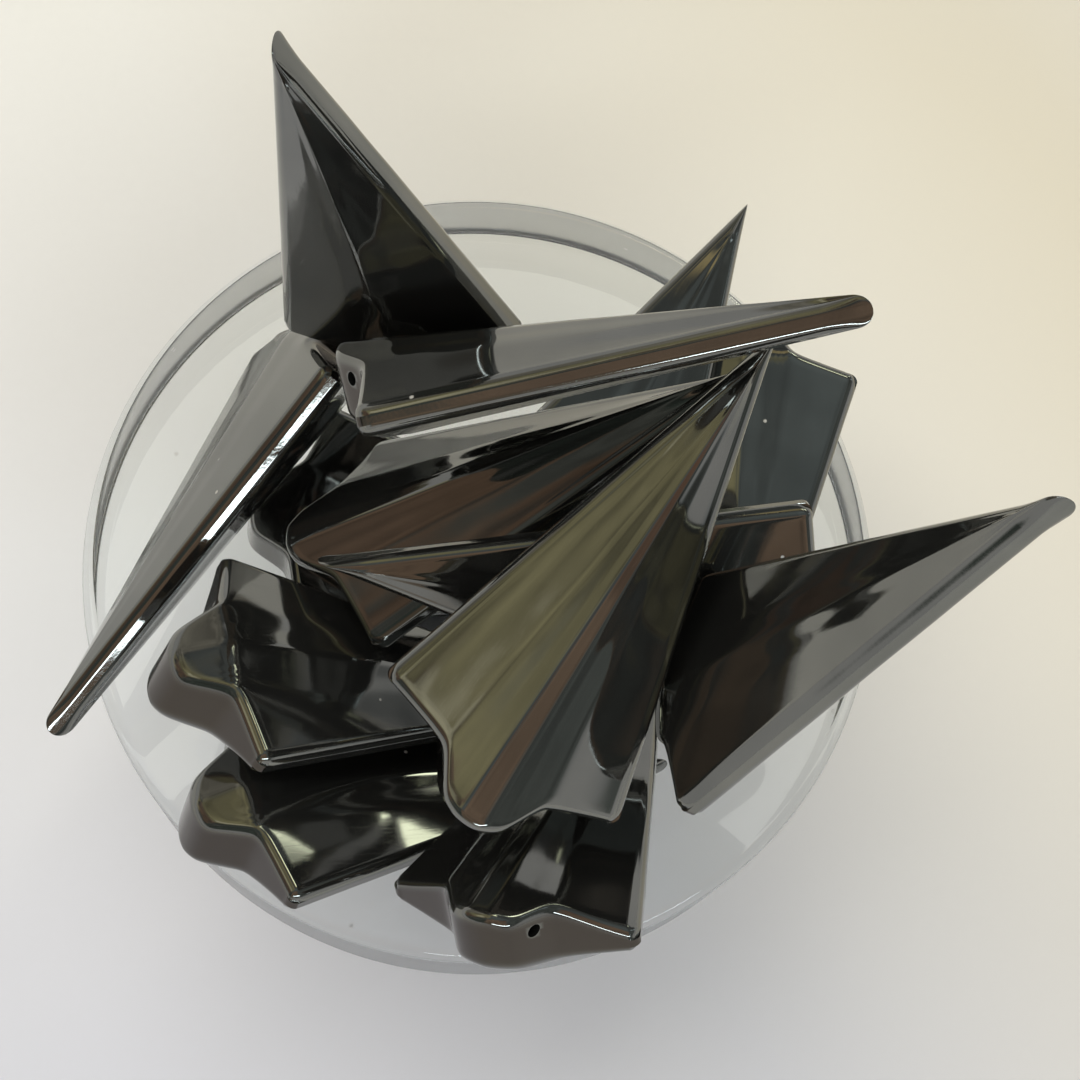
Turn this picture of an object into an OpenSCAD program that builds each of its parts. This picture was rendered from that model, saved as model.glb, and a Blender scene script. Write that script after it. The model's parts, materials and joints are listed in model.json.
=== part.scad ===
// Magnetic desk sculpture: a clear disc with a magnet inside and a pile of dart-shaped
// ferrite magnets that cling to it and to each other.
// +Z is up, sizes are millimetres, the origin is the centre of the disc's underside.

/* [Base] */
// Diameter of the clear disc
disc_d = 76; // [64:1:110]
// Thickness of the clear disc
disc_t = 15; // [12:0.5:25]
// Radius of the disc's rounded rims
disc_round = 1.3; // [0.5:0.1:3]

/* [Magnet] */
// Diameter of the magnet in the underside
magnet_d = 24; // [12:1:40]
// Thickness of the magnet
magnet_t = 6; // [3:0.5:8]
// Thickness of the cap that closes the pocket
cap_t = 1.6; // [1:0.1:3]
// Width of the ledge the cap sits on, all round the magnet
cap_ledge = 2; // [1:0.1:4]
// Clearance round the magnet and the cap
fit_gap = 0.2; // [0.1:0.05:0.4]

/* [Dart] */
// Length from nose to stern; the other dart sizes are those of a 45.5 mm dart, and grow with its length
dart_len = 45.5; // [30:0.5:60]
// Span over the wing tips
dart_span = 21.7; // [16:0.1:28]
// Thickness of the wing plate
plate_t = 2.4; // [1.8:0.1:3.2]
// Radius of the plate's rounded edges
edge_r = 0.85; // [0.4:0.05:0.85]
// Radius of the blunt nose, seen from the side
nose_r = 1.3; // [0.8:0.1:2]
// Rise of the ridge on the smooth side, at the tail
ridge_rise = 1.5; // [0.5:0.1:2.5]

/* [Keel and stern] */
// Depth of the keel under the wing, at the tail
keel_drop = 5; // [3:0.1:6.5]
// Width of the flat strip along the keel, at the tail
keel_strip = 2; // [1:0.1:3]
// Width of the stern block at the notches, where it leaves the wings
stern_w = 9.2; // [8:0.1:11]
// Width of the stern's end face
stern_face = 5.4; // [4:0.1:7]
// How far the stern stands aft of the notches
stern_aft = 4.2; // [3:0.1:6]
// How far the middle of the end face stands aft of its corners
stern_bulge = 0.6; // [0:0.1:1.5]
// Height of the sloped top at the stern, over the middle of the plate
stern_top = 0.2; // [0:0.1:1]
// How far the wing tips stand forward of the notches
tip_sweep = 1.5; // [0:0.1:3]
// Diameter of the small blind hole in one side of the stern
hole_d = 1.2; // [0.6:0.1:2]

/* [Hidden] */
// sides of a full circle
$fn = 96;
half_span = dart_span/2;
half_strip = keel_strip/2;
half_stern = stern_w/2;
half_face = stern_face/2;
half_plate = plate_t/2;
// a dart is modelled at this length, and then grows or shrinks to its own
full_len = 45.5;
grow = dart_len/full_len;
// from the nose to the notches and to the line of the wing tips
notch_len = full_len - stern_aft;
tip_len = notch_len - tip_sweep;
// how much the stern's corners and the notches are rounded in plan
corner_soft = 0.4;
// the top slopes down from the notches to the stern
slope = (half_plate + ridge_rise - stern_top)/stern_aft;
hole_deep = 1.6;
pocket_d = magnet_d + 2*fit_gap;
cap_d = magnet_d + 2*cap_ledge;
recess_d = cap_d + 2*fit_gap;
pocket_t = cap_t + magnet_t + 2*fit_gap;

// The pile was measured with darts of this span and height; wider or higher darts spread it.
pile_span = 21.7;
pile_height = 8.9;
dart_height = plate_t + ridge_rise + keel_drop;
spread = max(1, dart_span/pile_span, dart_height/pile_height);
// a dart is placed by the point this far along it from the nose
hold = 26;

// The base

module disc_profile() {
    radius = disc_d/2;
    square([radius - disc_round, disc_t]);
    translate([0, disc_round]) square([radius, disc_t - 2*disc_round]);
    for (z = [disc_round, disc_t - disc_round])
        translate([radius - disc_round, z]) circle(disc_round);
}

module base_disc() {
    color([0.86, 0.9, 0.92, 0.35]) difference() {
        rotate_extrude() disc_profile();
        translate([0, 0, -1]) cylinder(d = recess_d, h = cap_t + fit_gap + 1);
        translate([0, 0, -1]) cylinder(d = pocket_d, h = pocket_t + 1);
    }
}

module base_magnet() {
    color([0.2, 0.2, 0.22]) translate([0, 0, cap_t + fit_gap]) cylinder(d = magnet_d, h = magnet_t);
}

module magnet_cap() {
    color([0.9, 0.92, 0.94]) cylinder(d = cap_d, h = cap_t);
}

// The dart: rows of points fan out from the nose, which is at the origin, and end at the tail.
// The nose points along +X, the smooth ridged side is +Z and the keel is -Z.

// how far aft of the nose the row ends that stands off the middle line by y at the tail: the end
// face, the side of the stern and the trailing edge of the wing meet in softened corners
wing_y = half_span - edge_r;
function soft_min(a, b) = (a + b)/2 - norm([(a - b)/2, corner_soft]);
function soft_max(a, b) = (a + b)/2 + norm([(a - b)/2, corner_soft]);
function face_end(y) = full_len - stern_bulge*pow(y/half_face, 2);
function side_end(y) = notch_len + (stern_aft - stern_bulge)*(half_stern - y)/(half_stern - half_face);
function wing_end(y) = notch_len - tip_sweep*(y - half_stern)/(wing_y - half_stern);
function tail_end(y) = soft_max(soft_min(face_end(y), side_end(y)), wing_end(y));

// a row is [place at the tail, inset from the leading edge, turn round the edge in degrees]
edge_turns = [0, 45, 90];
face_places = [half_strip, (half_strip + half_face)/2, half_face - corner_soft, half_face + corner_soft];
block_places = [(half_face + half_stern)/2, half_stern - corner_soft/2, half_stern + corner_soft];
wing_places = [for (i = [1, 2]) half_stern + (wing_y - half_stern)*i/3];
inner_rows = [for (y = concat(face_places, block_places, wing_places)) [y, edge_r, 0]];
edge_rows = [for (a = edge_turns) [wing_y + edge_r*sin(a), edge_r*(1 - sin(a)), a]];
side_rows = concat(inner_rows, edge_rows);
last = len(side_rows) - 1;
rows = concat([for (i = [0:last]) let (r = side_rows[last - i]) [-r[0], r[1], r[2]]],
    [[0, edge_r, 0]], side_rows);

// the row's full length; the wing tips are rounded like the edges
function row_len(row) = tail_end(min(wing_y, abs(row[0]))) - edge_r*(1 - cos(row[2]));

// stations along a row are [part of the row's length, turn round the tail edge]
nose_steps = [0.012, 0.05, 0.12, 0.3, 0.52, 0.76];
last_step = 0.92;
function slope_start(length) = notch_len/length;
function stations(length) =
    let (flat_end = 1 - edge_r/length)
    concat([for (t = nose_steps) [t, 0]],
        [[slope_start(length) < flat_end ? slope_start(length) : last_step, 0]],
        [for (a = edge_turns) [1 - edge_r*(1 - sin(a))/length, a]]);

// heights of the two skins over the middle of the plate; the ridge is softened over part of the span
ridge_soft = 0.04;
function nose_fill(t) = sqrt(1 - pow(1 - min(t*tip_len, nose_r)/nose_r, 2));
function edge_fall(turn, tail_turn) =
    edge_r*(1 - sqrt(max(0, 1 - pow(sin(turn), 2) - pow(sin(tail_turn), 2))));
function ridge(y) = ridge_rise*(1 + ridge_soft - norm([y/half_span, ridge_soft]));
function top_z(row, s, length) =
    nose_fill(s[0])*(half_plate - edge_fall(row[2], s[1])) + min(s[0], slope_start(length))*ridge(row[0])
    - slope*max(0, s[0]*length - notch_len);
// the keel runs out at the rounded edge; a share of its flank falls straight and leaves a crease
half_flare = half_span - edge_r/2;
straight = 0.8;
function flare(y) = min(1, max(0, (abs(y) - half_strip)/(half_flare - half_strip)));
function keel_share(y) = straight*(1 - flare(y)) + (1 - straight)*pow(cos(90*flare(y)), 2);
function bottom_z(row, s) =
    -nose_fill(s[0])*(half_plate - edge_fall(row[2], s[1])) - s[0]*keel_drop*keel_share(row[0]);

// place in plan: edge rows keep their inset except close to the nose, and the others share what is left
nose_part = 0.09;
function plan_y(row, t) = let (side = t*half_span - row[1]*min(1, t/nose_part))
    abs(row[0]) < wing_y ? row[0]/wing_y*side : sign(row[0])*side;

top_skin = [for (row = rows) let (length = row_len(row))
    [for (s = stations(length)) [-s[0]*length, plan_y(row, s[0]), top_z(row, s, length)]]];
bottom_skin = [for (row = rows) let (length = row_len(row))
    [for (s = stations(length)) [-s[0]*length, plan_y(row, s[0]), bottom_z(row, s)]]];

across = len(rows);
along = len(top_skin[0]);
function top_id(j, i) = 1 + j*along + i;
function bottom_id(j, i) = 1 + (across + j)*along + i;

dart_points = concat([[0, 0, 0]],
    [for (row = top_skin) for (p = row) p],
    [for (row = bottom_skin) for (p = row) p]);

nose_faces = [for (j = [0:across - 2]) each
    [[0, top_id(j, 0), top_id(j + 1, 0)], [0, bottom_id(j + 1, 0), bottom_id(j, 0)]]];
skin_faces = [for (j = [0:across - 2]) for (i = [0:along - 2]) each [
    [top_id(j, i), top_id(j, i + 1), top_id(j + 1, i + 1)],
    [top_id(j, i), top_id(j + 1, i + 1), top_id(j + 1, i)],
    [bottom_id(j, i), bottom_id(j + 1, i + 1), bottom_id(j, i + 1)],
    [bottom_id(j, i), bottom_id(j + 1, i), bottom_id(j + 1, i + 1)]]];
tail_faces = [for (j = [0:across - 2]) each let (i = along - 1) [
    [top_id(j, i), bottom_id(j, i), bottom_id(j + 1, i)],
    [top_id(j, i), bottom_id(j + 1, i), top_id(j + 1, i)]]];
function rim_faces(j) = concat([[0, bottom_id(j, 0), top_id(j, 0)]],
    [for (i = [0:along - 2]) each [
        [top_id(j, i), bottom_id(j, i), bottom_id(j, i + 1)],
        [top_id(j, i), bottom_id(j, i + 1), top_id(j, i + 1)]]]);
function turned(faces) = [for (f = faces) [f[2], f[1], f[0]]];
dart_faces = concat(nose_faces, skin_faces, tail_faces, rim_faces(0), turned(rim_faces(across - 1)));

// the blind hole enters the left side of the stern square to it
module stern_hole() {
    side_turn = atan2(half_stern - half_face, stern_aft - stern_bulge);
    side_y = (half_face + half_stern)/2;
    middle = [-side_end(side_y), side_y, -(half_plate + keel_drop)/2];
    translate(middle) rotate([0, 0, 90 + side_turn]) rotate([0, 90, 0])
        translate([0, 0, -hole_deep]) cylinder(d = hole_d, h = 2*hole_deep, $fn = 24);
}

module dart() {
    color([0.24, 0.25, 0.24]) difference() {
        polyhedron(dart_points, dart_faces, convexity = 6);
        stern_hole();
    }
}

// A dart of the pile: its place is measured from the middle of the disc's top; heading turns
// from +X towards +Y, climb lifts the nose and bank rolls the left wing up.
module placed(place, heading, climb, bank) {
    translate([0, 0, disc_t] + grow*spread*place) rotate([bank, -climb, heading])
        scale(grow) translate([hold, 0, 0]) dart();
}

// Low darts, on the disc or just over it
module dart_floor() { placed([-2.5, 0.5, 4.5], -8, -6, -3); }
module dart_east() { placed([23.5, 3, 7], -94, -3, 7); }
module dart_top_right() { placed([12.5, 9, 12], 62, 0, 6); }
module dart_cross() { placed([11, -10, 24], 175, 8, -37); }
module dart_west() { placed([-9.5, -14.5, 13.5], 0, -28, -25); }
module dart_south_west() { placed([-7, -23.5, 10.5], 8, -21, -23); }
module dart_south() { placed([7, -25.5, 14.5], 62, -30, 155); }

// High darts
module dart_under() { placed([0.5, 0.5, 21], 14, 38, 157); }
module dart_centre() { placed([7.5, -13, 34], 56, 13, -167); }
module dart_right() { placed([23, -17, 41.5], 17, 58, -31); }
module dart_left() { placed([-24.5, 3, 12], -123, -9, 60); }
module dart_crest() { placed([5, 6, 35.5], 1, 31, 116); }
module dart_top_left() { placed([-11, 17, 35.5], 145, 73, -65); }

base_disc();
base_magnet();
magnet_cap();
dart_floor();
dart_east();
dart_top_right();
dart_cross();
dart_west();
dart_south_west();
dart_south();
dart_under();
dart_centre();
dart_right();
dart_left();
dart_crest();
dart_top_left();
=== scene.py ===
# %% [markdown]
# # A magnetic desk sculpture in Blender
# The object is a clear disc with a magnet in its underside, and thirteen dart-shaped ferrite magnets that
# cling to it in a pile. The CAD model fixes where every piece is and how it moves. This script gives each
# piece its fine shape and its finish, and sets up the picture. First it loads that model, and keeps its
# parts and their boxes.

# %% Load the model
import json
import math

import bmesh
import bpy
from mathutils import Euler, Matrix, Vector


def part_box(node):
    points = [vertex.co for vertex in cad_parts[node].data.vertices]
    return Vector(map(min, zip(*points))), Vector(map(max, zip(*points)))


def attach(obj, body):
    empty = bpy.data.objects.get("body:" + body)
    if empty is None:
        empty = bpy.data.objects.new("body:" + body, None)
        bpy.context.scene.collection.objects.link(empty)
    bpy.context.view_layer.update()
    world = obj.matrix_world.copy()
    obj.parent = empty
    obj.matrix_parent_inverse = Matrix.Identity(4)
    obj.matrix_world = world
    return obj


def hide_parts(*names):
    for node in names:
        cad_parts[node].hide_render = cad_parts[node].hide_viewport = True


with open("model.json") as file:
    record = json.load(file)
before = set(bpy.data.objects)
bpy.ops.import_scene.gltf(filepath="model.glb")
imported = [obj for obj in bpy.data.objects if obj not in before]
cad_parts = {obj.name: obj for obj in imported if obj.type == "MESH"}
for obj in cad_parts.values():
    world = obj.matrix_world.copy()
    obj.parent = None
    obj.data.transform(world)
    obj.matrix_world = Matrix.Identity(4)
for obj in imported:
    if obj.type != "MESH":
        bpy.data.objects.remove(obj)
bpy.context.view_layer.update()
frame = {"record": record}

MM = 0.001

# %% [markdown]
# ## Writing node trees as sums
# Both the darts and the finishes are made by node trees. Placing Math nodes one by one is slow to write
# and hard to read, so a small class wraps an output socket and lets Python's own operators add the nodes:
# `1 - mask * 2` makes two of them. Every other node comes from the method `node`, which sets the node's
# own settings first and then fills its sockets with values or with links.


# %% A socket that works in sums
class Wire:
    """An output socket; sums with it add Math nodes to its tree."""

    def __init__(self, socket):
        self.socket = socket
        self.tree = socket.id_data

    @classmethod
    def node(cls, tree, kind, settings=None, inputs=None):
        """Adds a node, sets its settings, then its inputs, and wraps its first output that is in use."""
        made = tree.nodes.new(kind)
        for name, value in (settings or {}).items():
            setattr(made, name, value)
        for key, value in (inputs or {}).items():
            if isinstance(value, cls):
                tree.links.new(value.socket, made.inputs[key])
            else:
                made.inputs[key].default_value = value
        return cls(next((s for s in made.outputs if s.enabled), None)) if made.outputs else made

    def out(self, name):
        """Another output of the same node."""
        return Wire(next(s for s in self.socket.node.outputs if s.name == name and s.enabled))

    def math(self, operation, *others):
        values = dict(enumerate((self,) + others))
        return Wire.node(self.tree, "ShaderNodeMath", {"operation": operation}, values)

    def __add__(self, other):
        return self.math("ADD", other)

    def __sub__(self, other):
        return self.math("SUBTRACT", other)

    def __rsub__(self, other):
        return Wire.node(self.tree, "ShaderNodeMath", {"operation": "SUBTRACT"}, {0: other, 1: self})

    def __mul__(self, other):
        return self.math("MULTIPLY", other)

    def __truediv__(self, other):
        return self.math("DIVIDE", other)

    def __pow__(self, other):
        return self.math("POWER", other)

    def __neg__(self):
        return self.math("MULTIPLY", -1.0)

    def __abs__(self):
        return self.math("ABSOLUTE")

    __radd__ = __add__
    __rmul__ = __mul__


def between(wire, low, high):
    """0 below low, 1 above high, and a straight run between."""
    return ((wire - low) / (high - low)).math("MAXIMUM", 0.0).math("MINIMUM", 1.0)


print("node sums are ready")

# %% [markdown]
# ## One dart, by rule
# Every dart has the same shape: rows of points fan out from the nose and end at a tail with the outline of
# a W. The top has a soft ridge, the underside a keel whose flanks run out to the wing edges, and the
# middle of the tail is a block with a flat end and a sloped top. A rule like that could be typed as a mesh
# loop, but Geometry Nodes keep it live: a plain grid is wrapped round the dart by its Set Position node,
# and each size stays a named input. The grid's first direction runs across the ridged side from tip to tip
# and back along the keel side; its second runs from the nose to the tail and then down the tail wall. The
# sizes are those of the CAD model.

# %% Sizes of a dart
DART = {
    "Length": 45.5 * MM,
    "Span": 21.7 * MM,
    "Plate": 2.4 * MM,
    "Edge radius": 0.85 * MM,
    "Nose radius": 1.3 * MM,
    "Ridge rise": 1.5 * MM,
    "Keel drop": 5 * MM,
    "Keel strip": 2 * MM,
    "Stern width": 9.2 * MM,
    "Stern face": 5.4 * MM,
    "Stern overhang": 4.2 * MM,
    "Stern bulge": 0.6 * MM,
    "Stern top": 0.2 * MM,
    "Tip sweep": 1.5 * MM,
    "Corner softness": 0.4 * MM,
    "Waviness": 0.116 * MM,
    "Hole width": 1.2 * MM,
    "Hole depth": 1.6 * MM,
}
GRID_ROUND = 241
GRID_ALONG = 97
# Shares of the grid at which a rounding starts and ends: the wing's edge across, the tail's edge along.
EDGE_FROM, EDGE_TO = 0.72, 0.95
TAIL_FROM, TAIL_TO = 0.82, 0.94
# Shares of the grid over which the finish, with its painted shade, changes to that of the tail wall.
WALL_FROM, WALL_TO = 0.9, 0.95
QUARTER_TURN = math.pi / 2
print("dart sizes in mm:", {name: round(size / MM, 2) for name, size in DART.items()})

# %% [markdown]
# The helpers below are the rule's parts. `tail_line` says how far aft a row ends: the stern's end face,
# its side and the wing's trailing edge are three lines, and a softened minimum or maximum rounds the
# corners between them. `skins` gives the heights of the two sides. Angles are in radians, because Math
# nodes take them so.


# %% The parts of the rule
def softened(a, b, soft, way):
    """The larger of a and b (way +1) or the smaller (way -1), with the corner between them rounded."""
    half = (a - b) * 0.5
    return (a + b) * 0.5 + (half * half + soft * soft).math("SQRT") * way


def tail_line(row, size):
    """How far aft of the nose a row ends, from its place across the tail."""
    half_stern, half_face = size["Stern width"] * 0.5, size["Stern face"] * 0.5
    notches = size["Length"] - size["Stern overhang"]
    wing_y = size["Span"] * 0.5 - size["Edge radius"]
    face = size["Length"] - size["Stern bulge"] * (row / half_face) ** 2.0
    block = size["Stern overhang"] - size["Stern bulge"]
    side = notches + block * (half_stern - row) / (half_stern - half_face)
    wing = notches - size["Tip sweep"] * (row - half_stern) / (wing_y - half_stern)
    soft = size["Corner softness"]
    return softened(softened(face, side, soft, -1), wing, soft, 1)


def skins(row, part, row_end, turns, size):
    """Heights of the ridged side and of the keel side over the middle of the plate."""
    half_span = size["Span"] * 0.5
    half_strip = size["Keel strip"] * 0.5
    notches = size["Length"] - size["Stern overhang"]
    thick = size["Plate"] * 0.5
    nose = 1 - (part * notches).math("MINIMUM", size["Nose radius"]) / size["Nose radius"]
    fill = (1 - nose * nose).math("MAXIMUM", 0.0).math("SQRT")
    level = (1 - turns).math("MAXIMUM", 0.0).math("SQRT")
    plate = fill * (thick - size["Edge radius"] * (1 - level))
    soft = 0.04
    lean = ((row / half_span) ** 2.0 + soft * soft).math("SQRT")
    slope = (thick + size["Ridge rise"] - size["Stern top"]) / size["Stern overhang"]
    stern_soft, strip_soft = 0.5 * MM, 0.06
    past = (part * row_end - notches).math("SMOOTH_MAX", 0.0, stern_soft)
    ridge = part.math("MINIMUM", notches / row_end) * size["Ridge rise"] * (1 + soft - lean)
    top = plate + ridge - slope * past
    half_flare = half_span - size["Edge radius"] * 0.5
    flare = (row - half_strip) / (half_flare - half_strip)
    flare = flare.math("SMOOTH_MAX", 0.0, strip_soft).math("MINIMUM", 1.0)
    straight = 0.8
    keel = (1 - flare) * straight + (flare * QUARTER_TURN).math("COSINE") ** 2.0 * (1 - straight)
    bottom = -plate - part * size["Keel drop"] * keel
    return top, bottom


print("the rule's parts are ready")

# %% [markdown]
# The tree itself: a grid, its new positions, a weld where the wrapped grid meets itself, and the small
# blind hole that each dart has in one side of its stern, cut by a Boolean node. Three attributes are
# stored for the finish: each point's place on the unplaced dart, how far round an edge it is, and whether
# it is on the tail wall.


# %% Build the dart's tree
def wrap(tree, size):
    """Gives each grid point's new position, how far round an edge it is, and 1 on the tail wall."""
    place = Wire.node(tree, "GeometryNodeInputPosition")
    grid = Wire.node(tree, "ShaderNodeSeparateXYZ", inputs={"Vector": place})
    round_it, down_it = grid.out("X") + 0.5, grid.out("Y") + 0.5
    # Across the dart: 0 on the ridge or the keel, then out to the rounded edge, and 1 at the rim.
    across = 1 - abs(round_it - 0.5) * 4
    side, out_to = across.math("SIGN"), abs(across)
    radius = size["Edge radius"]
    turn = between(out_to, EDGE_FROM, EDGE_TO) * QUARTER_TURN
    rim = between(out_to, EDGE_TO, 1.0)
    wing_y = size["Span"] * 0.5 - radius
    row = (out_to / EDGE_FROM).math("MINIMUM", 1.0) * wing_y + radius * turn.math("SINE")
    inset = radius * (1 - turn.math("SINE"))
    # Along the dart: the body from the nose, then the tail's rounded edge, then the tail wall.
    nose_crowding = 1.5
    body = (down_it / TAIL_FROM).math("MINIMUM", 1.0) ** nose_crowding
    tail_turn = between(down_it, TAIL_FROM, TAIL_TO) * QUARTER_TURN
    wall = between(down_it, TAIL_TO, 1.0)
    row_end = tail_line(row.math("MINIMUM", wing_y), size) - radius * (1 - turn.math("COSINE"))
    flat_end = 1 - radius / row_end
    part = body * flat_end + radius / row_end * tail_turn.math("SINE")
    nose_share = 0.09
    side_line = part * size["Span"] * 0.5 - inset * (part / nose_share).math("MINIMUM", 1.0)
    y = (row / wing_y).math("MINIMUM", 1.0) * side_line * side
    turns = turn.math("SINE") ** 2.0 + tail_turn.math("SINE") ** 2.0
    top, bottom = skins(row, part, row_end, turns, size)
    # At the rim and down the tail wall both sides close on the surface midway between them.
    middle = (top + bottom) * 0.5
    ridged = round_it.math("LESS_THAN", 0.5)
    skin = ridged * top + (1 - ridged) * bottom
    to_middle = wall.math("MAXIMUM", rim)
    z = skin + (middle - skin) * to_middle
    position = Wire.node(tree, "ShaderNodeCombineXYZ", inputs={"X": -(part * row_end), "Y": y, "Z": z})
    return position, turns.math("MINIMUM", 1.0), between(down_it, WALL_FROM, WALL_TO)


def named_inputs(tree, sizes):
    """Makes one float input for each size and gives their wires."""
    for name in sizes:
        tree.interface.new_socket(name, in_out="INPUT", socket_type="NodeSocketFloat")
    tree.interface.new_socket("Seed", in_out="INPUT", socket_type="NodeSocketFloat")
    tree.interface.new_socket("Finish", in_out="INPUT", socket_type="NodeSocketMaterial")
    tree.interface.new_socket("Dart", in_out="OUTPUT", socket_type="NodeSocketGeometry")
    inlet = tree.nodes.new("NodeGroupInput")
    return {s.name: Wire(s) for s in inlet.outputs if s.name}


def hole_cutter(tree, size):
    """A round cutter, square to the stern's left side."""
    half_stern, half_face = DART["Stern width"] / 2, DART["Stern face"] / 2
    block = DART["Stern overhang"] - DART["Stern bulge"]
    side_turn = math.atan2(half_stern - half_face, block)
    aft = DART["Length"] - DART["Stern overhang"] + block / 2
    middle = (-aft, (half_stern + half_face) / 2, -(DART["Plate"] / 2 + DART["Keel drop"]) / 2)
    bit = Wire.node(tree, "GeometryNodeMeshCylinder", {"fill_type": "NGON"},
                    {"Vertices": 32, "Radius": size["Hole width"] * 0.5, "Depth": size["Hole depth"] * 2})
    turn = Euler((0, QUARTER_TURN, QUARTER_TURN + side_turn))
    return Wire.node(tree, "GeometryNodeTransform",
                     inputs={"Geometry": bit, "Translation": middle, "Rotation": turn})


print("the tree's branches are ready")


# %% [markdown]
# Now the branches are joined. After the weld a slow noise lifts the surface by hundredths of a millimetre,
# because polished faces are never quite flat and a mirror shows it. Then the hole is cut, edges sharper
# than 40 degrees stay crisp, and the tree ends with Realize Instances and Set Material.

# %% Finish the dart's tree
WELD = 0.0005 * MM
RIPPLES = 130.0
CRISP = math.radians(40)


def dart_tree(sizes):
    tree = bpy.data.node_groups.new("dart by rule", "GeometryNodeTree")
    size = named_inputs(tree, sizes)
    grid = Wire.node(tree, "GeometryNodeMeshGrid",
                     inputs={"Size X": 1.0, "Size Y": 1.0,
                             "Vertices X": GRID_ROUND, "Vertices Y": GRID_ALONG})
    position, edge, tail_wall = wrap(tree, size)
    marked = grid
    for name, value in (("edge", edge), ("tail_wall", tail_wall)):
        marked = Wire.node(tree, "GeometryNodeStoreNamedAttribute", {"data_type": "FLOAT"},
                           {"Geometry": marked, "Name": name, "Value": value})
    local = Wire.node(tree, "GeometryNodeStoreNamedAttribute", {"data_type": "FLOAT_VECTOR"},
                      {"Geometry": marked, "Name": "dart_place", "Value": position})
    shaped = Wire.node(tree, "GeometryNodeSetPosition", inputs={"Geometry": local, "Position": position})
    welded = Wire.node(tree, "GeometryNodeMergeByDistance", inputs={"Geometry": shaped, "Distance": WELD})
    ripple = Wire.node(tree, "ShaderNodeTexNoise", {"noise_dimensions": "4D"},
                       {"Vector": Wire.node(tree, "GeometryNodeInputPosition"), "W": size["Seed"],
                        "Scale": RIPPLES, "Detail": 1.0})
    lift = (ripple - 0.5) * size["Waviness"]
    normal = Wire.node(tree, "GeometryNodeInputNormal")
    offset = Wire.node(tree, "ShaderNodeVectorMath", {"operation": "SCALE"},
                       {"Vector": normal, "Scale": lift})
    waved = Wire.node(tree, "GeometryNodeSetPosition", inputs={"Geometry": welded, "Offset": offset})
    bored = Wire.node(tree, "GeometryNodeMeshBoolean", {"operation": "DIFFERENCE", "solver": "EXACT"},
                      {"Mesh 1": waved, "Mesh 2": hole_cutter(tree, size)})
    smooth = Wire.node(tree, "GeometryNodeSetShadeSmooth", {"domain": "FACE"}, {"Geometry": bored})
    steep = Wire.node(tree, "GeometryNodeInputMeshEdgeAngle").math("LESS_THAN", CRISP)
    crisp = Wire.node(tree, "GeometryNodeSetShadeSmooth", {"domain": "EDGE"},
                      {"Geometry": smooth, "Shade Smooth": steep})
    real = Wire.node(tree, "GeometryNodeRealizeInstances", inputs={"Geometry": crisp})
    done = Wire.node(tree, "GeometryNodeSetMaterial", inputs={"Geometry": real, "Material": size["Finish"]})
    Wire.node(tree, "NodeGroupOutput", inputs={"Dart": done})
    return tree


rule = dart_tree(DART)
print("the dart's tree has", len(rule.nodes), "nodes")

# %% [markdown]
# ## Polished ferrite
# The darts are ground and polished until they mirror the room, so nearly all of their look is reflection:
# a dark metal with very little roughness. What keeps a mirror from looking like a drawing is its faults. A
# soft noise varies the tone, a stretched noise lays fine polishing lines along the dart, smears raise the
# roughness in patches, and tiny pits along the edges break the highlights into sparks. A few dust grains
# lie on top. The tail walls are only ground, so they are a little duller than the faces, and their colour
# is painted much darker as painted shade, so that they mirror little of the lit floor.


# %% The darts' finish
def new_material(name):
    made = bpy.data.materials.new(name)
    made.use_nodes = True
    tree = made.node_tree
    return made, tree, tree.nodes["Principled BSDF"]


def feed(tree, shader, inputs):
    """Sets or links the shader's own sockets."""
    for name, value in inputs.items():
        if isinstance(value, Wire):
            tree.links.new(value.socket, shader.inputs[name])
        else:
            shader.inputs[name].default_value = value


def noise(tree, vector, scale, detail=2.0, roughness=0.5):
    return Wire.node(tree, "ShaderNodeTexNoise",
                     inputs={"Vector": vector, "Scale": scale, "Detail": detail, "Roughness": roughness})


def mix_colours(tree, factor, low, high):
    """A mix of two colours, which are the sockets 6 and 7 of a Mix node."""
    inputs = {0: factor, 6: low, 7: high}
    return Wire.node(tree, "ShaderNodeMix", {"data_type": "RGBA"}, inputs).out("Result")


def grains(tree, place, scale, rim, core, rarity):
    """1 on small round grains, which only a few of the noise's cells have."""
    cells = Wire.node(tree, "ShaderNodeTexVoronoi", inputs={"Vector": place, "Scale": scale})
    chance = Wire.node(tree, "ShaderNodeSeparateColor", inputs={"Color": cells.out("Color")}).out("Red")
    return between(cells.out("Distance"), rim, core) * chance.math("GREATER_THAN", rarity)


def bumps(tree, height, strength, depth):
    return Wire.node(tree, "ShaderNodeBump",
                     inputs={"Strength": strength, "Distance": depth, "Height": height})


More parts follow.
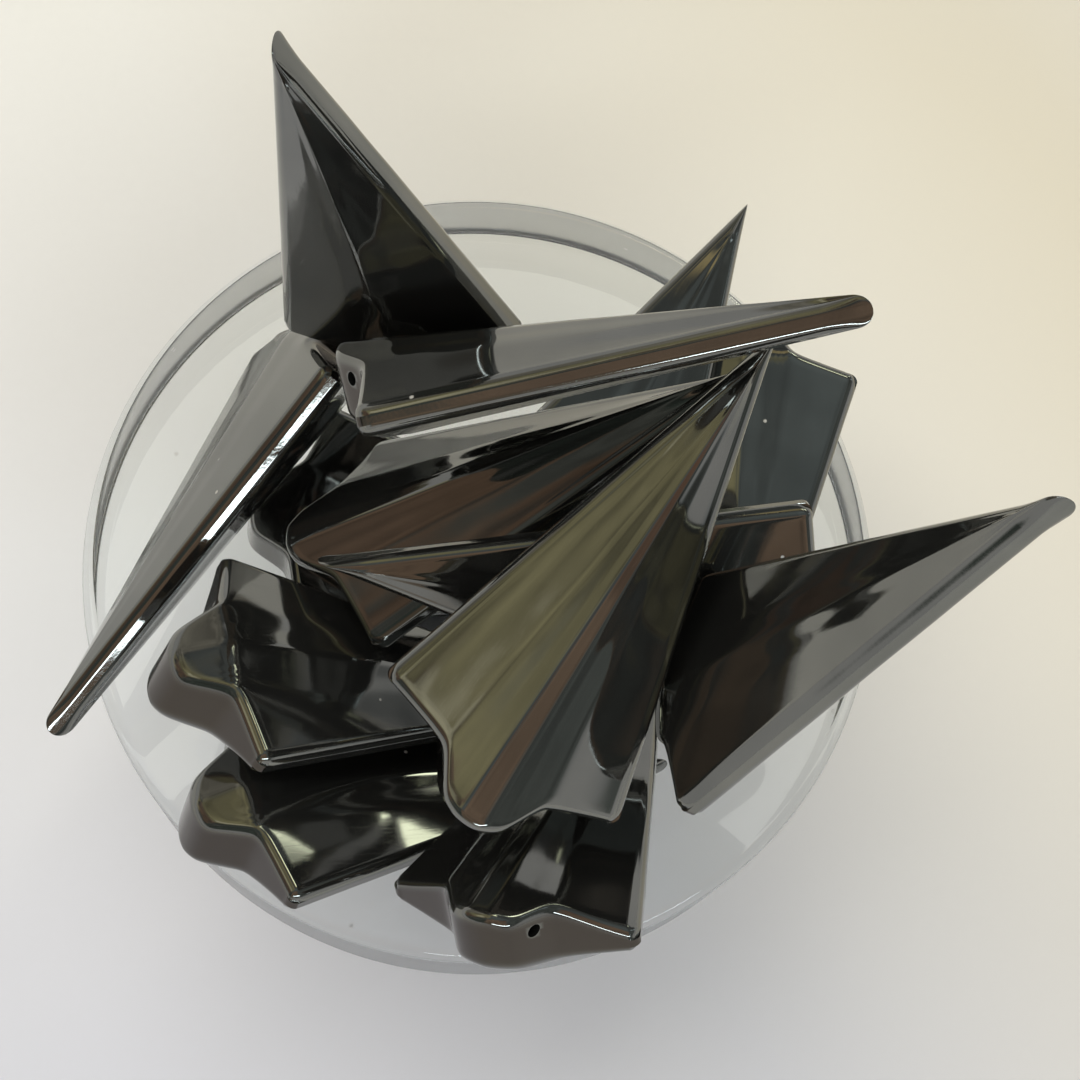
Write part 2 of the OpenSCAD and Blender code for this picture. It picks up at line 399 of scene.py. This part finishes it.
def polished_ferrite():
    made, tree, shader = new_material("polished ferrite")
    place = Wire.node(tree, "ShaderNodeAttribute", {"attribute_name": "dart_place"}).out("Vector")
    edge = Wire.node(tree, "ShaderNodeAttribute", {"attribute_name": "edge"}).out("Fac")
    ground_and_painted_shade = Wire.node(tree, "ShaderNodeAttribute", {"attribute_name": "tail_wall"}).out("Fac")
    room = Wire.node(tree, "ShaderNodeTexCoord").out("Object")
    tone = noise(tree, room, scale=90.0, detail=3.0)
    smear = between(noise(tree, room, scale=160.0, detail=4.0, roughness=0.6), 0.52, 0.75)
    stretched = Wire.node(tree, "ShaderNodeMapping", inputs={"Vector": place, "Scale": (0.04, 1.0, 1.0)})
    lines = between(noise(tree, stretched, scale=5200.0, detail=3.0, roughness=0.7), 0.56, 0.75)
    dust = grains(tree, room, scale=420.0, rim=0.1, core=0.05, rarity=0.93)
    bare = mix_colours(tree, between(tone, 0.35, 0.65), (0.165, 0.168, 0.162, 1), (0.2, 0.202, 0.192, 1))
    # Painted shade: the tail walls' colour is painted much darker than the faces'; only their extra
    # roughness is the ground finish.
    metal = mix_colours(tree, ground_and_painted_shade, bare, (0.075, 0.066, 0.06, 1))
    colour = mix_colours(tree, dust, metal, (0.5, 0.49, 0.46, 1))
    pits = noise(tree, room, scale=3600.0, detail=2.0) * between(edge, 0.05, 0.5)
    dents = pits * 0.35 + lines * 0.05 + dust * 0.6
    feed(tree, shader, {
        "Base Color": colour,
        "Metallic": 0.95 - dust * 0.85,
        "Roughness": 0.06 + smear * 0.06 + lines * 0.05 + ground_and_painted_shade * 0.06 + dust * 0.6,
        "Normal": bumps(tree, dents, strength=0.25, depth=0.03 * MM),
    })
    return made


ferrite = polished_ferrite()
print("polished ferrite has", len(ferrite.node_tree.nodes), "nodes")

# %% [markdown]
# ## The pile
# The CAD model places each dart by the point 26 mm aft of its nose, measured from the middle of the disc's
# top, and by three turns: heading, climb and bank. The same round numbers are repeated here, and each
# finished dart is compared with the box of the CAD node that it stands for. Each dart gets its own seed,
# so no two are alike.

# %% Where the darts lie
HOLD = 26 * MM
# Each dart: the place of that point in mm, then heading, climb and bank in degrees.
PILE = {
    "dart_floor": ((-2.5, 0.5, 4.5), -8, -6, -3),
    "dart_east": ((23.5, 3, 7), -94, -3, 7),
    "dart_top_right": ((12.5, 9, 12), 62, 0, 6),
    "dart_cross": ((11, -10, 24), 175, 8, -37),
    "dart_west": ((-9.5, -14.5, 13.5), 0, -28, -25),
    "dart_south_west": ((-7, -23.5, 10.5), 8, -21, -23),
    "dart_south": ((7, -25.5, 14.5), 62, -30, 155),
    "dart_under": ((0.5, 0.5, 21), 14, 38, 157),
    "dart_centre": ((7.5, -13, 34), 56, 13, -167),
    "dart_right": ((23, -17, 41.5), 17, 58, -31),
    "dart_left": ((-24.5, 3, 12), -123, -9, 60),
    "dart_crest": ((5, 6, 35.5), 1, 31, 116),
    "dart_top_left": ((-11, 17, 35.5), 145, 73, -65),
}
disc_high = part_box("base_disc")[1]


def dart_matrix(place, heading, climb, bank):
    turn = Euler((math.radians(bank), math.radians(-climb), math.radians(heading)))
    held_at = Vector(place) * MM + Vector((0, 0, disc_high.z))
    return Matrix.Translation(held_at) @ turn.to_matrix().to_4x4() @ Matrix.Translation((HOLD, 0, 0))


print(len(PILE), "darts to place on a disc whose top is at", round(disc_high.z / MM, 2), "mm")


# %% [markdown]
# A modifier runs the tree on an empty object, with the named inputs set by their sockets' identifiers, and
# `new_from_object` turns the result into a plain mesh. The mesh is moved and not the object, so every
# finished piece stands at the origin, unturned and unscaled.

# %% Make the darts
def add_object(name, data):
    made = bpy.data.objects.new(name, data)
    bpy.context.scene.collection.objects.link(made)
    return made


def evaluated_mesh(host):
    bpy.context.view_layer.update()
    return bpy.data.meshes.new_from_object(host.evaluated_get(bpy.context.evaluated_depsgraph_get()))


def one_dart(seed):
    """Runs the rule with its own seed and gives the plain mesh."""
    host = add_object("dart host", bpy.data.meshes.new("empty"))
    modifier = host.modifiers.new("rule", "NODES")
    modifier.node_group = rule
    values = dict(DART, Seed=seed, Finish=ferrite)
    for item in rule.interface.items_tree:
        if item.in_out == "INPUT":
            modifier[item.identifier] = values[item.name]
    mesh = evaluated_mesh(host)
    bpy.data.objects.remove(host)
    return mesh


def settle(piece, node, body):
    """The piece stands for a CAD node, which it hides, and moves with its body."""
    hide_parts(node)
    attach(piece, body)


def corners(mesh):
    points = [v.co for v in mesh.vertices]
    return [[f(p[axis] for p in points) for axis in range(3)] for f in (min, max)]


body_of_node = {n: body for body, nodes in frame["record"]["behaviour"]["bodies"].items() for n in nodes}
worst = 0
for seed, (node, place) in enumerate(PILE.items()):
    mesh = one_dart(float(seed))
    mesh.transform(dart_matrix(*place))
    settle(add_object("polished_" + node, mesh), node, body_of_node[node])
    gaps = [abs(a - b) for made, cad in zip(corners(mesh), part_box(node)) for a, b in zip(made, cad)]
    worst = max(worst, *gaps)
print(len(PILE), "darts of", len(mesh.polygons), "faces")
print("furthest from a CAD box:", round(worst / MM, 2), "mm")

# %% [markdown]
# ## Clear acrylic
# The disc is turned and polished plastic, so it lets light through and bends it: transmission with the
# index of acrylic. Its top carries a few dust specks and faint smears, which is what makes a clear surface
# visible at all. The side wall is left as the lathe turned it, a little satin, and a grey layer on it is
# painted shade, standing for the dark ring below the rim, so from above it shows as a grey band.


# %% The disc's finish
def distance_from_axis(axes):
    """How far a place is from the Z axis, from its separated coordinates."""
    return (axes.out("X") ** 2.0 + axes.out("Y") ** 2.0).math("SQRT")


def show_mix(tree, factor, first, second):
    """Sends a mix of two shaders to the material's output."""
    whole = Wire.node(tree, "ShaderNodeMixShader", inputs={0: factor, 1: first, 2: second})
    tree.links.new(whole.socket, tree.nodes["Material Output"].inputs["Surface"])


def clear_acrylic(wall_radius):
    made, tree, shader = new_material("clear acrylic")
    room = Wire.node(tree, "ShaderNodeTexCoord").out("Object")
    smear = between(noise(tree, room, scale=70.0, detail=4.0, roughness=0.6), 0.5, 0.8)
    specks = grains(tree, room, scale=330.0, rim=0.09, core=0.04, rarity=0.94)
    from_axis = distance_from_axis(Wire.node(tree, "ShaderNodeSeparateXYZ", inputs={"Vector": room}))
    wall = between(from_axis, wall_radius - 0.2 * MM, wall_radius - 0.05 * MM)
    feed(tree, shader, {
        "Base Color": mix_colours(tree, specks, (0.93, 0.95, 0.95, 1), (0.45, 0.44, 0.42, 1)),
        "Roughness": 0.012 + smear * 0.03 + specks * 0.5 + wall * 0.2,
        "IOR": 1.49,
        "Transmission Weight": 1.0,
        "Normal": bumps(tree, specks, strength=0.2, depth=0.02 * MM),
    })
    # Painted shade: the side wall's grey layer stands for the dark ring below the rim; only its roughness
    # is the lathe's satin finish.
    painted_shade_satin = Wire.node(tree, "ShaderNodeBsdfPrincipled",
                      inputs={"Base Color": (0.36, 0.37, 0.38, 1), "Roughness": 0.4})
    show_mix(tree, wall * 0.45, Wire(shader.outputs[0]), painted_shade_satin)
    return made


acrylic = clear_acrylic(disc_high.x)
print("clear acrylic has", len(acrylic.node_tree.nodes), "nodes")

# %% [markdown]
# ## The disc, its magnet and its cap
# All three are round, so each is a profile spun about the Z axis. The disc's profile has rounded rims and
# the stepped pocket of the CAD model; the sizes come from the CAD boxes. The spin tool leaves doubles
# where it closes, so they are welded, and the normals are made to point outwards.


# %% Spin the round pieces
def arc(centre, radius, start, stop, steps=10):
    """Points on an arc in the profile's plane, angles in degrees."""
    angles = [math.radians(start + (stop - start) * i / steps) for i in range(steps + 1)]
    return [(centre[0] + radius * math.cos(a), centre[1] + radius * math.sin(a)) for a in angles]


def spun(name, profile, finish, sides=256, crisp=30):
    """A closed solid from a profile of (radius, height) points that starts and ends on the axis."""
    shape = bmesh.new()
    points = [shape.verts.new((r, 0, z)) for r, z in profile]
    lines = [shape.edges.new(pair) for pair in zip(points, points[1:])]
    bmesh.ops.spin(shape, geom=points + lines, axis=(0, 0, 1), cent=(0, 0, 0),
                   steps=sides, angle=2 * math.pi)
    bmesh.ops.remove_doubles(shape, verts=shape.verts, dist=0.001 * MM)
    bmesh.ops.recalc_face_normals(shape, faces=shape.faces)
    for edge in shape.edges:
        edge.smooth = edge.calc_face_angle(0) < math.radians(crisp)
    for face in shape.faces:
        face.smooth = True
    mesh = bpy.data.meshes.new(name)
    shape.to_mesh(mesh)
    shape.free()
    mesh.materials.append(finish)
    return add_object(name, mesh)


def let_light_through(piece):
    """A clear piece bends what the camera sees, but neither shades nor tints the floor below it."""
    piece.visible_shadow = False
    piece.visible_diffuse = False


def size_of(node):
    low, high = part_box(node)
    return (high.x - low.x) / 2, low.z, high.z


RIM = 1.3 * MM
FIT = 0.2 * MM
disc_r, _, disc_t = size_of("base_disc")
magnet_r, magnet_low, magnet_high = size_of("base_magnet")
cap_r, _, cap_t = size_of("magnet_cap")
lower_rim = arc((disc_r - RIM, RIM), RIM, -90, 0)
upper_rim = arc((disc_r - RIM, disc_t - RIM), RIM, 0, 90)
pocket = [(0, magnet_high + FIT), (magnet_r + FIT, magnet_high + FIT), (magnet_r + FIT, cap_t + FIT),
          (cap_r + FIT, cap_t + FIT), (cap_r + FIT, 0)]
disc = spun("clear_disc", pocket + lower_rim + upper_rim + [(0, disc_t)], acrylic)
settle(disc, "base_disc", "base")
let_light_through(disc)
print("clear disc:", len(disc.data.polygons), "faces,", round(2 * disc_r / MM, 1), "mm wide")


# %% [markdown]
# The magnet is pressed and sintered ferrite, dull and grainy; the cap is of the same clear plastic as the
# disc. Both have eased rims, because no made edge is quite sharp, and the thin highlight on the rim is
# what shows the edge.

# %% The magnet and its cap
def sintered_ferrite():
    made, tree, shader = new_material("sintered ferrite")
    room = Wire.node(tree, "ShaderNodeTexCoord").out("Object")
    grain = noise(tree, room, scale=2400.0, detail=4.0, roughness=0.7)
    stain = noise(tree, room, scale=140.0, detail=3.0)
    colour = mix_colours(tree, stain, (0.035, 0.035, 0.038, 1), (0.075, 0.075, 0.08, 1))
    bump = bumps(tree, grain, strength=0.3, depth=0.05 * MM)
    feed(tree, shader, {"Base Color": colour, "Roughness": 0.5 + grain * 0.25, "Normal": bump})
    return made


EASE = 0.4 * MM


def eased_plug(radius, low, high):
    """Half the section of a round plate with eased rims."""
    lower = arc((radius - EASE, low + EASE), EASE, -90, 0, steps=4)
    upper = arc((radius - EASE, high - EASE), EASE, 0, 90, steps=4)
    return [(0, low)] + lower + upper + [(0, high)]


magnet = spun("disc_magnet", eased_plug(magnet_r, magnet_low, magnet_high), sintered_ferrite())
settle(magnet, "base_magnet", "base")
cap = spun("clear_cap", eased_plug(cap_r, 0, cap_t), acrylic)
settle(cap, "magnet_cap", "base")
let_light_through(cap)
print("magnet", round(2 * magnet_r / MM, 1), "mm and cap", round(2 * cap_r / MM, 1), "mm wide")

# %% [markdown]
# ## The floor, the light and the camera
# A mirror shows whatever is round it, so the surroundings matter more here than the finish. The floor is a
# sheet of pale paper with painted light in its colour: painted shade makes the near side darker and
# cooler, and painted warm light makes the far right warmer. The far floor fades into a plain pale
# backdrop, so that no horizon shows. The camera sees the faded floor, and so do the mirrors and the clear
# disc, but it sheds no soft light.


# %% The floor
BACKDROP = (0.7, 0.69, 0.67, 1)
# Distances from the object, in metres, over which the sheet's painted light and shade and then the floor
# itself fade out.
PAINTED_LIGHT_FADE = (0.08, 0.16)
FLOOR_FADE = (0.3, 0.9)


def seen(tree):
    """1 for what the camera sees, straight, in a mirror or through a clear piece."""
    path = Wire.node(tree, "ShaderNodeLightPath")
    straight_or_mirrored = path.out("Is Camera Ray").math("MAXIMUM", path.out("Is Glossy Ray"))
    return straight_or_mirrored.math("MAXIMUM", path.out("Is Transmission Ray"))


def paper():
    made, tree, shader = new_material("pale paper")
    room = Wire.node(tree, "ShaderNodeTexCoord").out("Object")
    axes = Wire.node(tree, "ShaderNodeSeparateXYZ", inputs={"Vector": room})
    fibre = noise(tree, room, scale=900.0, detail=3.0)
    # Painted light: painted shade makes the near side darker and cooler, and painted warm light makes the
    # far right warmer.
    far = between(axes.out("Y") + axes.out("X") * 0.15, -0.055, 0.06)
    painted_warm_light = between(axes.out("X") + axes.out("Y") * 0.6, 0.0, 0.1)
    painted_shade_near_to_far = mix_colours(tree, far, (0.67, 0.675, 0.73, 1), (0.86, 0.85, 0.81, 1))
    painted_light_sheet = mix_colours(tree, painted_warm_light, painted_shade_near_to_far, (0.7, 0.645, 0.52, 1))
    from_axis = distance_from_axis(axes)
    sheet = mix_colours(tree, between(from_axis, *PAINTED_LIGHT_FADE), painted_light_sheet, (0.76, 0.75, 0.73, 1))
    toned = mix_colours(tree, fibre * 0.08, sheet, (0.6, 0.59, 0.57, 1))
    feed(tree, shader, {"Base Color": toned, "Roughness": 0.8, "Specular IOR Level": 0.2})
    plain = Wire.node(tree, "ShaderNodeEmission", inputs={"Color": BACKDROP})
    faded = between(from_axis, *FLOOR_FADE) * seen(tree)
    show_mix(tree, faded, Wire(shader.outputs[0]), plain)
    return made


FLOOR_HALF = 3.0
FLOOR_DROP = 0.05 * MM
floor_mesh = bpy.data.meshes.new("floor")
square = [(-1, -1), (1, -1), (1, 1), (-1, 1)]
reach = [(x * FLOOR_HALF, y * FLOOR_HALF, -FLOOR_DROP) for x, y in square]
floor_mesh.from_pydata(reach, [], [(0, 1, 2, 3)])
floor_mesh.materials.append(paper())
floor = add_object("floor", floor_mesh)
print("floor", 2 * FLOOR_HALF, "m square")


# %% [markdown]
# Two large soft boxes light the floor and the disc: daylight from the far left and a weaker fill from the
# near side. They are hidden from mirrors, which would show them as white sheets. What the darts do show is
# a narrow, cool window.


# %% The lights
def soft_box(name, place, aim, width, height, power, colour):
    lamp = bpy.data.lights.new(name, "AREA")
    lamp.shape = "RECTANGLE"
    lamp.size, lamp.size_y = width, height
    lamp.energy, lamp.color = power, colour
    made = add_object(name, lamp)
    made.location = place
    made.rotation_mode = "QUATERNION"
    made.rotation_quaternion = (Vector(aim) - Vector(place)).to_track_quat("-Z", "Y")
    return made


daylight = soft_box("daylight", place=(-0.5, 0.8, 1.5), aim=(0, 0, 0),
                    width=2.0, height=1.6, power=22, colour=(1.0, 0.99, 0.97))
near_fill = soft_box("near fill", place=(0.5, -1.0, 1.5), aim=(0, 0, 0),
                     width=2.0, height=1.6, power=10, colour=(0.97, 0.98, 1.0))
for lamp in (daylight, near_fill):
    lamp.visible_glossy = False
soft_box("cool window", place=(0.38, -1.17, 0.74), aim=(0, 0, 0.03),
         width=1.2, height=0.11, power=7.0, colour=(0.84, 0.95, 1.0))
print("three soft boxes are lit")

# %% [markdown]
# The rest of the room is painted on the world. Each patch is a cone of directions with a soft rim and a
# tone, laid over the ones before it. A slow noise bends the directions, so that no patch is a perfect
# circle, and a second noise mottles the tones. Near the horizon the room gives way to the plain pale
# backdrop, for every kind of ray.

# %% The room that the darts mirror
world = bpy.data.worlds.new("room")
bpy.context.scene.world = world
world.use_nodes = True
sky = world.node_tree
view_way = Wire.node(sky, "ShaderNodeTexCoord").out("Generated")
BEND = 0.3
bend = noise(sky, view_way, scale=3.0, detail=3.0).out("Color")
shift = Wire.node(sky, "ShaderNodeVectorMath", {"operation": "MULTIPLY_ADD"},
                  {0: bend, 1: (BEND, BEND, BEND), 2: (-BEND / 2, -BEND / 2, -BEND / 2)})
direction = Wire.node(sky, "ShaderNodeVectorMath", {"operation": "ADD"}, {0: view_way, 1: shift})
ROOM = (0.13, 0.145, 0.14, 1)
# Each patch: what it is, the way to it, its half angle and its soft rim in degrees, and its tone.
PATCHES = [
    ("dark, near left", (-0.6, -0.7, 0.15), 48, 16, (0.08, 0.1, 0.085, 1)),
    ("dark, far right", (0.6, 0.7, 0.2), 35, 16, (0.12, 0.13, 0.13, 1)),
    ("slate, right", (0.8, -0.35, 0.5), 34, 12, (0.14, 0.155, 0.145, 1)),
    ("grey, overhead", (0.15, 0.1, 0.97), 22, 10, (0.2, 0.23, 0.23, 1)),
    ("brown, left", (-0.8, 0.1, 0.5), 18, 6, (0.25, 0.16, 0.105, 1)),
    ("slate, left", (-0.7, -0.25, 0.65), 12, 5, (0.12, 0.125, 0.11, 1)),
    ("olive, high left", (-0.4, 0.36, 0.83), 20, 9, (0.5, 0.45, 0.24, 1)),
    ("brown, high left", (-0.36, 0.22, 0.9), 6, 5, (0.26, 0.18, 0.12, 1)),
    ("red-brown, overhead", (0.26, -0.12, 0.96), 6, 4, (0.36, 0.19, 0.12, 1)),
    ("brown, near side", (0.03, -0.62, 0.78), 26, 8, (0.36, 0.24, 0.16, 1)),
    ("brown, low near side", (-0.15, -0.95, 0.25), 16, 8, (0.28, 0.21, 0.14, 1)),
    ("grey, low right", (0.95, -0.15, 0.08), 12, 8, (0.36, 0.38, 0.39, 1)),
    ("pale, far side", (-0.4, 0.85, 0.3), 20, 10, (0.4, 0.37, 0.3, 1)),
    ("cream, low left", (-0.88, 0.42, 0.2), 9, 6, (0.62, 0.56, 0.34, 1)),
    ("gold, high far side", (0.12, 0.6, 0.79), 7, 4, (0.75, 0.6, 0.3, 1)),
    ("pale yellow, high left", (-0.42, 0.3, 0.86), 3, 4, (0.95, 0.88, 0.6, 1)),
    ("white, far right", (0.5, 0.66, 0.55), 6, 4, (5.5, 5.7, 4.2, 1)),
    ("cool white, right", (0.85, 0.15, 0.5), 5, 4, (1.7, 2.0, 2.1, 1)),
]


def patch(way, spread, blur):
    """1 inside a cone of directions and 0 outside it, angles in degrees."""
    toward = Vector(way).normalized()
    cosine = Wire.node(sky, "ShaderNodeVectorMath", {"operation": "DOT_PRODUCT"}, {0: direction, 1: toward})
    outer, inner = (math.cos(math.radians(angle)) for angle in (spread + blur, spread))
    return between(cosine.out("Value"), outer, inner)


tones = ROOM
for _, way, spread, blur, tint in PATCHES:
    tones = mix_colours(sky, patch(way, spread, blur), tones, tint)
blotches = noise(sky, view_way, scale=7.0, detail=3.0, roughness=0.6)
mottle = 0.45 + between(blotches, 0.3, 0.7) * 1.1
mottled = Wire.node(sky, "ShaderNodeVectorMath", {"operation": "SCALE"}, {"Vector": tones, "Scale": mottle})
height = Wire.node(sky, "ShaderNodeSeparateXYZ", inputs={"Vector": view_way}).out("Z")
ROOM_FROM, ROOM_FULL = math.radians(10), math.radians(16)
room_above = between(height, math.sin(ROOM_FROM), math.sin(ROOM_FULL))
backdrop = sky.nodes["Background"]
sky.links.new(mix_colours(sky, room_above, BACKDROP, mottled).socket, backdrop.inputs["Color"])
backdrop.inputs["Strength"].default_value = 1.0
bpy.context.scene.view_settings.view_transform = "Standard"
print("the room has", len(PATCHES), "patches of tone")

# %% [markdown]
# The camera stands where the photograph was taken from, about 200 mm away and looking steeply down.
# Elevation and azimuth place it round the object, and the roll turns it about its own line of sight.

# %% The camera
LOOK_AT = Vector((5.45, 1.76, 15.9)) * MM
DISTANCE = 200 * MM
ELEVATION, AZIMUTH, ROLL = 73.62, -13.99, 13.99
LENS, SENSOR = 69.6, 36


def aim_camera():
    el, az, roll = (math.radians(a) for a in (ELEVATION, AZIMUTH, ROLL))
    back = Vector((math.cos(el) * math.sin(az), -math.cos(el) * math.cos(az), math.sin(el)))
    level = Vector((0, 0, 1)).cross(back).normalized()
    rise = back.cross(level)
    right = level * math.cos(roll) + rise * math.sin(roll)
    top = rise * math.cos(roll) - level * math.sin(roll)
    lens = bpy.data.cameras.new("camera")
    lens.lens, lens.sensor_width = LENS, SENSOR
    lens.clip_start, lens.clip_end = 0.01, 20
    made = add_object("camera", lens)
    axes = Matrix((right, top, back)).transposed()
    made.matrix_world = Matrix.Translation(LOOK_AT + back * DISTANCE) @ axes.to_4x4()
    return made


bpy.context.scene.camera = aim_camera()
print("camera at", [round(x / MM, 1) for x in bpy.context.scene.camera.location], "mm")
